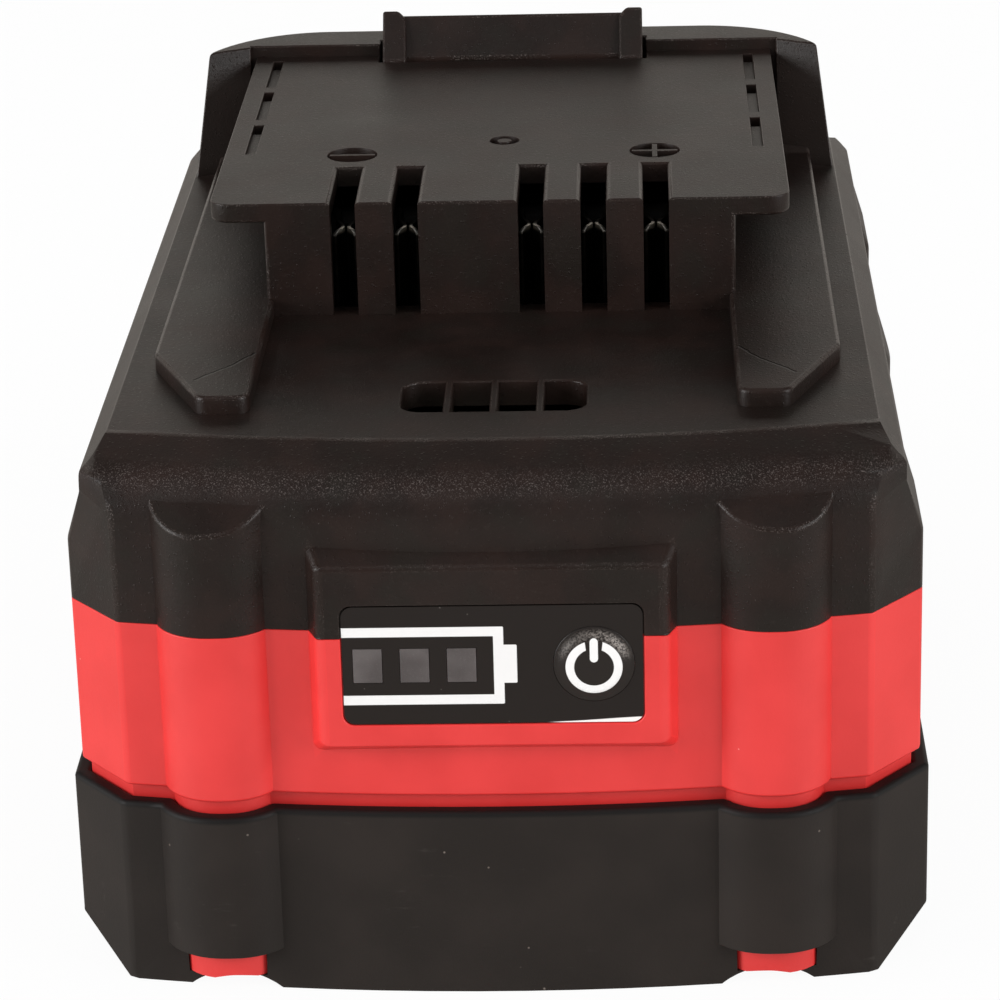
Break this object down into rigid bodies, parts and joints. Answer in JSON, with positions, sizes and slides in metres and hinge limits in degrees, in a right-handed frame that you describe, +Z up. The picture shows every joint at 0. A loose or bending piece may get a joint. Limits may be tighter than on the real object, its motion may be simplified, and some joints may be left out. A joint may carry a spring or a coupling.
{
  "type": "power tool battery pack",
  "caption": "Slide-on battery pack for cordless tools: dark and red housing with a rubber boot, charge gauge with a press button, T-rail terminal plate and a spring latch.",
  "frame": {"origin": "middle of the footprint, on the ground", "axes": "+X across, towards the plus mark; +Y from the gauge to the latch; +Z up"},
  "size_m": [0.0782, 0.1146, 0.0663],
  "materials": {
    "dark_shell": "fine spark texture",
    "red_shell": "satin",
    "boot": "matte",
    "label": "printed film",
    "window": "smoked clear",
    "button": "semi-gloss",
    "board": "solder resist",
    "lamp": "clear",
    "switch": "plated",
    "plunger": "moulded",
    "ribbon": "film",
    "socket": "moulded",
    "latch": "moulded",
    "holder": "moulded",
    "spring": "drawn wire",
    "screw": "zinc plated",
    "sheet": "fibre paper",
    "chip": "moulded",
    "fuse": "ceramic",
    "thermistor": "dipped bead",
    "carrier": "moulded",
    "cell": "printed sleeve over a metal can",
    "strip": "rolled nickel",
    "contact": "tin plated"
  },
  "bodies": {
    "pack": {"upper_housing": "dark_shell", "lower_housing": "red_shell", "boot": "boot", "label_film": "label", "light_guide": "window", "gauge_board": "board", "gauge_lamps": "lamp", "switch_body": "switch", "gauge_ribbon": "ribbon", "ribbon_socket": "socket", "latch_bracket": "holder", "latch_spring_left": "spring", "latch_spring_right": "spring", "case_screws": "screw", "holder_left": "holder", "holder_right": "holder", "sheet_left": "sheet", "sheet_right": "sheet", "control_board": "board", "board_screws": "screw", "transistors": "chip", "control_chip": "chip", "fuse": "fuse", "thermistor": "thermistor", "terminal_carrier": "carrier", "cell_1": "cell", "cell_2": "cell", "cell_3": "cell", "cell_4": "cell", "cell_5": "cell", "cell_6": "cell", "cell_7": "cell", "cell_8": "cell", "cell_9": "cell", "cell_10": "cell", "strip_1": "strip", "strip_2": "strip", "strip_3": "strip", "strip_4": "strip", "strip_5": "strip", "strip_6": "strip", "contact_1": "contact", "contact_2": "contact", "contact_3": "contact", "contact_4": "contact", "contact_5": "contact"},
    "latch": {"latch": "latch"},
    "gauge_button": {"gauge_button": "button", "switch_plunger": "plunger"}
  },
  "joints": [
    {"name": "latch_slide", "type": "slide", "parent": "pack", "child": "latch", "axis": [0, 0, -1], "range_m": [0, 0.005], "stiffness_N_per_m": 1200, "springref_m": -0.004, "deforming": ["latch_spring_left", "latch_spring_right"]},
    {"name": "button_press", "type": "slide", "parent": "pack", "child": "gauge_button", "axis": [0, 1, 0], "range_m": [0, 0.0005], "stiffness_N_per_m": 3000, "springref_m": -0.0002}
  ]
}
